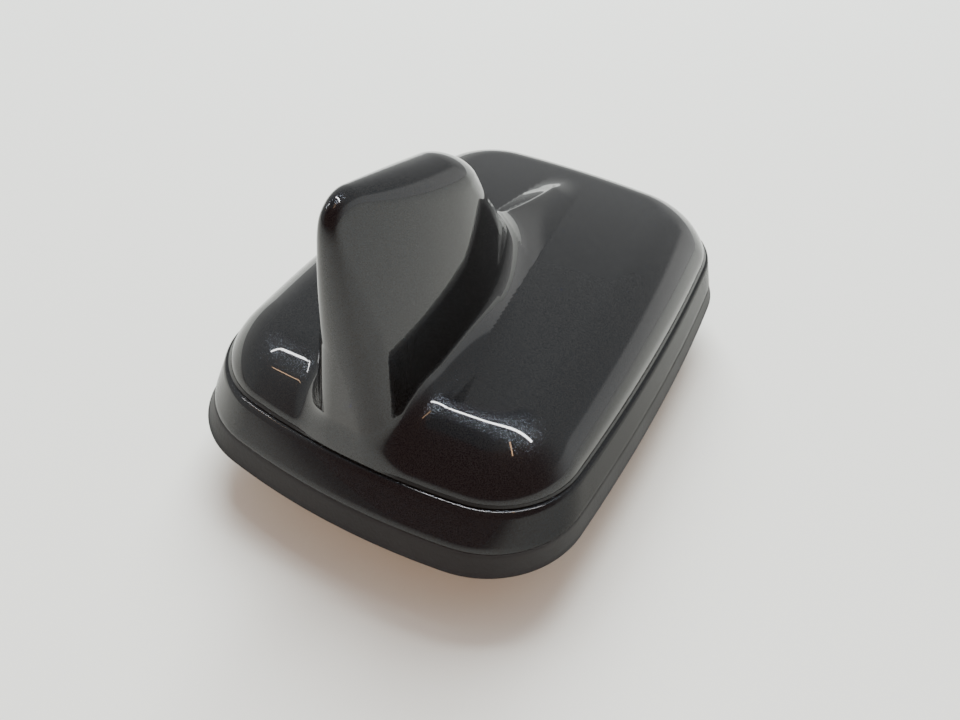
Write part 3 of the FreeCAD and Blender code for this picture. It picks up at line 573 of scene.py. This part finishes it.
# %% Board laminate
laminate, tree = finish("board_laminate", IOR=1.5)
place = tree.node("ShaderNodeTexCoord", out=3)
runs = tree.node("ShaderNodeTexBrick", {"offset": 0.37}, out=1, Vector=place, Color1=(1, 1, 1, 1), Color2=(1, 1, 1, 1),
                 Mortar=(0, 0, 0, 1), Scale=260.0, Mortar_Size=0.035, Mortar_Smooth=0.2)
spots = tree.node("ShaderNodeTexVoronoi", {"feature": "F1"}, out=0, Vector=place, Scale=320.0)
pad = 1 - spots.between(0.13, 0.16)
weave = tree.node("ShaderNodeTexNoise", None, Vector=place, Scale=1600.0, Detail=2.0)
mask = blend_colour(tree, runs.between(0.2, 0.8), (0.015, 0.10, 0.035, 1), (0.035, 0.20, 0.075, 1))
feed(laminate, Base_Color=blend_colour(tree, pad, mask, (0.72, 0.71, 0.67, 1)), Metallic=pad,
     Roughness=0.30 + 0.12 * weave, Normal=bumped(tree, runs + pad * 0.6 + weave * 0.2, 0.00004))
finishes["board_laminate"] = laminate
print("board finish ready")

# %% [markdown]
# ## The cover's screws
#
# Four small screws hold the plate to the cover's posts. One is modelled with its six-lobed recess, its rounded head
# and its thread, and Geometry Nodes puts a copy at each post, because a repeat is best kept as one shape
# and a list of places. The result is made a plain mesh at the end.

# %% One screw
HEAD_R, HEAD_H, SHANK_R, SHANK_LENGTH, THREAD_STEP = 2.75, 1.7, 1.5, 9.0, 0.6
RING_POINTS = 48


def lobed(radius, z, wave=0.0):
    """Ring of a screw, with six lobes where a wave is given."""
    angle = np.arange(RING_POINTS) * 2 * np.pi / RING_POINTS
    reach = radius + wave * np.cos(6 * angle)
    return np.stack([reach * np.cos(angle), reach * np.sin(angle), np.full(RING_POINTS, z)], 1)


screw_rings = [lobed(0.5, SHANK_LENGTH - 0.1), lobed(SHANK_R - 0.35, SHANK_LENGTH - 0.6)]
for z in np.arange(SHANK_LENGTH - 1.0, 0.9, -THREAD_STEP):
    screw_rings += [lobed(SHANK_R, z), lobed(SHANK_R, z - 0.1)]
    screw_rings += [lobed(SHANK_R - 0.25, z - 0.25), lobed(SHANK_R - 0.25, z - 0.4)]
screw_rings += [lobed(SHANK_R, 0.4), lobed(SHANK_R, 0.0), lobed(HEAD_R - 0.1, 0.0), lobed(HEAD_R, -0.1)]
screw_rings += [lobed(HEAD_R, -0.6), lobed(HEAD_R - 0.06, -0.85), lobed(HEAD_R - 0.25, -1.15)]
screw_rings += [lobed(HEAD_R - 0.6, -1.4)]
screw_rings += [lobed(HEAD_R - 1.1, -HEAD_H + 0.04), lobed(1.38, -HEAD_H, 0.12), lobed(1.25, -HEAD_H + 0.1, 0.16)]
screw_rings += [lobed(1.2, -HEAD_H + 0.2, 0.17), lobed(1.2, -HEAD_H + 1.0, 0.17), lobed(1.0, -HEAD_H + 1.08, 0.1)]
one_screw = ring_mesh("one_screw", screw_rings, (0, 0, SHANK_LENGTH), (0, 0, -HEAD_H + 1.2))
print("one screw:", len(one_screw.data.polygons), "faces")

# %% Four screws by Geometry Nodes
POST_ACROSS, POST_REAR_Y, POST_FRONT_Y = 26.5, -31.0, 36.0
group = bpy.data.node_groups.new("screw_places", "GeometryNodeTree")
inputs = {}
for name, kind in (("Screw", "Object"), ("Across", "Float"), ("Along", "Float"), ("Middle", "Vector"),
                   ("Seed", "Int"), ("Finish", "Material")):
    inputs[name] = group.interface.new_socket(name, in_out="INPUT", socket_type="NodeSocket" + kind).identifier
group.interface.new_socket("Geometry", in_out="OUTPUT", socket_type="NodeSocketGeometry")
given = group.nodes.new("NodeGroupInput")
steps = Shade(group)
value = {name: Shade(group, given.outputs[name]) for name in inputs}
corners = steps.node("GeometryNodeMeshGrid", None, Size_X=value["Across"], Size_Y=value["Along"],
                     Vertices_X=2, Vertices_Y=2)
corners = steps.node("GeometryNodeTransform", None, Geometry=corners, Translation=value["Middle"])
shape = steps.node("GeometryNodeObjectInfo", None, out=4, Object=value["Screw"])
spin = steps.node("FunctionNodeRandomValue", {"data_type": "FLOAT_VECTOR"}, _0=(0, 0, 0), _1=(0, 0, 2 * math.pi),
                  Seed=value["Seed"])
copies = steps.node("GeometryNodeInstanceOnPoints", None, Points=corners, Instance=shape, Rotation=spin)
copies = steps.node("GeometryNodeRealizeInstances", None, Geometry=copies)
copies = steps.node("GeometryNodeSetMaterial", None, Geometry=copies, Material=value["Finish"])
group.links.new(copies.socket, group.nodes.new("NodeGroupOutput").inputs[0])

screws = bpy.data.objects.new("cover_screw_set", bpy.data.meshes.new("cover_screw_set"))
bpy.context.scene.collection.objects.link(screws)
repeat = screws.modifiers.new("repeat", "NODES")
repeat.node_group = group
middle_y = (POST_FRONT_Y + POST_REAR_Y) / 2
for name, setting in (("Screw", one_screw), ("Across", 2 * POST_ACROSS * MM),
                      ("Along", (POST_FRONT_Y - POST_REAR_Y) * MM),
                      ("Middle", (0, middle_y * MM, PLATE_BOTTOM * MM)), ("Seed", 7),
                      ("Finish", finishes["screw_steel"])):
    repeat[inputs[name]] = setting
screws.data = bpy.data.meshes.new_from_object(screws.evaluated_get(bpy.context.evaluated_depsgraph_get()))
screws.modifiers.clear()
screws.data.polygons.foreach_set("use_smooth", np.ones(len(screws.data.polygons), bool))
bpy.data.objects.remove(one_screw)
lowest = min(v.co.z for v in screws.data.vertices)
print("screws:", len(screws.data.polygons), "faces, at z from", round(lowest / MM, 2), "mm")

# %% [markdown]
# ## Dressing the part
#
# The smooth cover, rim and screws take the place of their solids and ride on the one body. Every other solid is
# shown as it is, with the finish that the record names for it.

# %% Dress the pieces
for piece, material, node, slot in ((cover, paint, "cover", "black_paint"), (seal, rubber, "roof_seal", "seal_rubber"),
                                    (screws, None, "cover_screws", "screw_steel")):
    if material:
        piece.data.materials.append(material)
    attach(piece, "root")
    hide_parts(node)
dressed = 0
for row in frame["record"]["subparts"]:
    for place in frame["nodes"][row["node"]].material_slots:
        if row["material_slot"] in finishes:
            place.material = finishes[row["material_slot"]]
            dressed += 1
print("nodes dressed:", dressed)

# %% [markdown]
# ## Table
#
# The table is a pale laminate, a little warm and hardly glossy. It is the largest thing that the paint mirrors, so its
# tone matters on the flanks of the fin as much as in the background. Behind the part, the paint mirrors a dim room and
# a table in shade, so there a painted shade darkens the table's colour for reflections only, while the camera itself
# still sees it plain.

# %% Table
TABLE_SIZE, TABLE_Y, PAINTED_SHADE_FULL_Y, PAINTED_SHADE_END_Y = 1.4, 0.38, -0.30, -0.09
floor_z = cad_low[2]
bpy.ops.mesh.primitive_grid_add(x_subdivisions=4, y_subdivisions=4, size=TABLE_SIZE)
table = bpy.context.object
table.data.transform(Matrix.Translation((0, TABLE_Y, floor_z)))
table.name = "table"
top, tree = finish("table_top", Roughness=0.55)
place = tree.node("ShaderNodeTexCoord", out=3)
mottle = tree.node("ShaderNodeTexNoise", None, Vector=place, Scale=9.0, Detail=3.0)
pale = blend_colour(tree, mottle, (0.81, 0.825, 0.77, 1), (0.84, 0.855, 0.80, 1))
# Painted shade: behind the part the table's colour falls to a dark tone that only reflections see, not camera rays.
ahead = tree.node("ShaderNodeSeparateXYZ", None, out=1, Vector=place).between(PAINTED_SHADE_FULL_Y, PAINTED_SHADE_END_Y)
ahead = tree.maths("MAXIMUM", ahead, tree.node("ShaderNodeLightPath"))
feed(top, Base_Color=blend_colour(tree, ahead, (0.16, 0.14, 0.14, 1), pale))
table.data.materials.append(top)
print("table at", round(floor_z / MM, 2), "mm")

# %% [markdown]
# ## Room and lamps
#
# A mirror-black form shows its surroundings rather than its colour, so the room is laid out as the reflections in the
# photograph ask: pale walls ahead and to the left, a dim, slightly red side behind the camera, and lamps on the
# ceiling. The room is a sum over the direction of sight; only the plain backdrop that the camera itself sees
# past the table's edge is kept pale all round. Each lamp is a strip between two points of the ceiling, given as shares
# of its height, and is only mirrored. Two soft lights, which are not mirrored, light the table and draw the shadow.

# %% Room
DIM_SIDE = (0.50, -0.87)
BRIGHT_SIDE = (0.77, 0.64)
world = bpy.data.worlds.new("room")
world.use_nodes = True
tree = Shade(world.node_tree)
sight = tree.node("ShaderNodeTexCoord")
east, north, above = (tree.node("ShaderNodeSeparateXYZ", None, out=i, Vector=sight) for i in range(3))
level_reach = (east * east + north * north + 1e-6) ** 0.5
dim = ((east * DIM_SIDE[0] + north * DIM_SIDE[1]) / level_reach).between(0.05, 0.68)
bright = ((east * BRIGHT_SIDE[0] + north * BRIGHT_SIDE[1]) / level_reach).between(0.70, 0.95)
low = blend_colour(tree, bright, (0.88, 0.90, 0.89, 1), (1.8, 1.82, 1.8, 1))
walls = blend_colour(tree, above.between(0.22, 0.30), low, (0.84, 0.86, 0.87, 1))
walls = blend_colour(tree, dim, walls, (0.34, 0.20, 0.20, 1))
room = blend_colour(tree, above.between(0.86, 0.90), walls, (0.34, 0.35, 0.38, 1))
to_camera = tree.node("ShaderNodeLightPath")
room = blend_colour(tree, to_camera, room, (1.45, 1.46, 1.43, 1))
world.node_tree.links.new(room.socket, world.node_tree.nodes["Background"].inputs["Color"])
bpy.context.scene.world = world
bpy.context.scene.view_settings.view_transform = "AgX"
print("room nodes:", len(world.node_tree.nodes))

# %% Lamps
CEILING = 1.2
SOFT_LIGHTS = (
    ("soft_box", 1.0, (-0.36, 0.72, 1.05), 15.4, (0.93, 0.98, 1.01)),
    ("warm_fill", 0.8, (0.30, -0.90, 0.90), 2.3, (1.0, 0.56, 0.24)),
)
LAMPS = (
    ("tube_over", (-0.29, 0.12), (0.72, 0.04), 0.045, 105.0, (1.0, 1.0, 1.0)),
    ("tube_left", (-1.25, -0.50), (-0.72, -0.23), 0.045, 75.0, (1.0, 1.0, 1.0)),
    ("warm_right", (0.36, -0.17), (0.63, -0.41), 0.02, 30.0, (1.0, 0.62, 0.35)),
    ("warm_left", (-1.30, -0.98), (-0.88, -0.84), 0.02, 30.0, (1.0, 0.62, 0.35)),
)
for name, start, end, width, radiance, colour in LAMPS:
    lamp = bpy.data.lights.new(name, "AREA")
    lamp.shape = "RECTANGLE"
    lamp.size = math.dist(start, end) * CEILING
    lamp.size_y = width * CEILING
    lamp.energy = radiance * math.pi * lamp.size * lamp.size_y
    lamp.color = colour
    strip = bpy.data.objects.new(name, lamp)
    bpy.context.scene.collection.objects.link(strip)
    strip.location = ((start[0] + end[0]) / 2 * CEILING, (start[1] + end[1]) / 2 * CEILING, floor_z + CEILING)
    strip.rotation_euler = (0, 0, math.atan2(end[1] - start[1], end[0] - start[0]))
    strip.visible_diffuse = False
for name, side, stand, radiance, colour in SOFT_LIGHTS:
    cloth = bpy.data.lights.new(name, "AREA")
    cloth.size = side
    cloth.energy = radiance * math.pi * side ** 2
    cloth.color = colour
    box = bpy.data.objects.new(name, cloth)
    bpy.context.scene.collection.objects.link(box)
    box.location = stand
    box.rotation_euler = (-Vector(stand)).to_track_quat("-Z", "Y").to_euler()
    box.visible_glossy = False
print("lamps:", [name for name, *_ in LAMPS + SOFT_LIGHTS])
